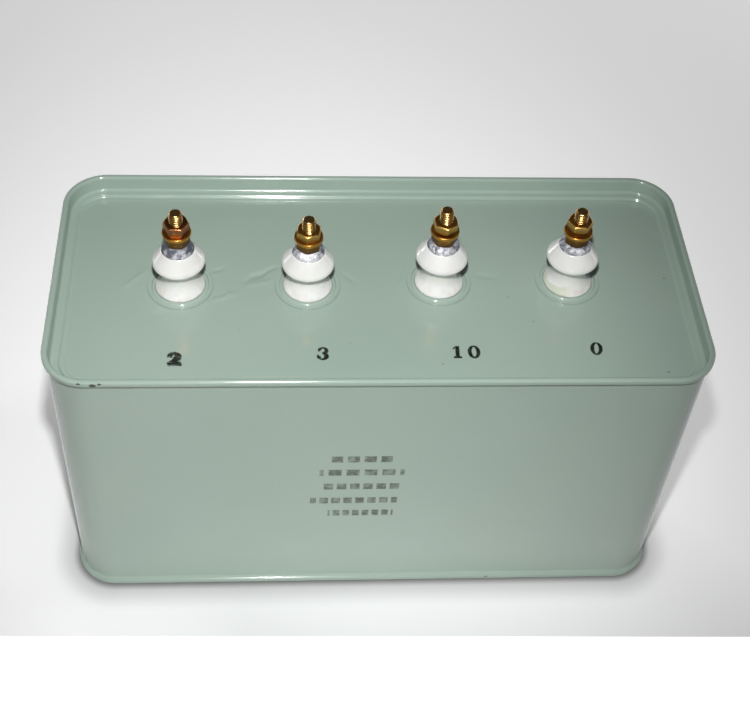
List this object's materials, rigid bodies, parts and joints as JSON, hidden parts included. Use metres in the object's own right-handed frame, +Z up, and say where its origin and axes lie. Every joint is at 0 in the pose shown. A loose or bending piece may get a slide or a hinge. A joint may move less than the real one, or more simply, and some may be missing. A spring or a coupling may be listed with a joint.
{
  "type": "high voltage capacitor",
  "caption": "Flat rectangular sheet-steel can with rounded corners and rolled seams, its recessed lid carrying a row of porcelain bushings with threaded terminal studs and nuts.",
  "frame": {"origin": "centre of the bounding box in plan, on the floor that the base seam stands on", "axes": "+X along the can's length and its row of terminals, towards the common terminal; +Y towards the back of the can; +Z up, along the terminal studs"},
  "size_m": [0.29, 0.128, 0.196],
  "materials": {
    "can_paint": "gloss",
    "porcelain": "gloss",
    "brass": "satin",
    "dark_brass": "satin",
    "solder": "satin",
    "copper": "satin",
    "film": "satin",
    "pressboard": "matte"
  },
  "bodies": {
    "root": {"can_body": "can_paint", "base_plate": "can_paint", "lid": "can_paint", "flange_1": "can_paint", "flange_2": "can_paint", "flange_3": "can_paint", "flange_4": "can_paint", "bushing_1": "porcelain", "bushing_2": "porcelain", "bushing_3": "porcelain", "bushing_4": "porcelain", "solder_cap_1": "solder", "solder_cap_2": "solder", "solder_cap_3": "solder", "solder_cap_4": "solder", "stud_1": "brass", "stud_2": "brass", "stud_3": "brass", "stud_4": "brass", "lower_nut_1": "dark_brass", "lower_nut_2": "dark_brass", "lower_nut_3": "dark_brass", "lower_nut_4": "dark_brass", "washer_1": "brass", "washer_2": "brass", "washer_3": "brass", "washer_4": "brass", "upper_nut_1": "brass", "upper_nut_2": "brass", "upper_nut_3": "brass", "upper_nut_4": "brass", "inner_washer_1": "brass", "inner_washer_2": "brass", "inner_washer_3": "brass", "inner_washer_4": "brass", "inner_nut_1": "brass", "inner_nut_2": "brass", "inner_nut_3": "brass", "inner_nut_4": "brass", "lead_1": "copper", "lead_2": "copper", "lead_3": "copper", "lead_4": "copper", "winding_1": "film", "winding_2": "film", "winding_3": "film", "common_strip": "copper", "winding_wrap": "pressboard", "top_board": "pressboard", "bottom_board": "pressboard"}
  },
  "joints": []
}
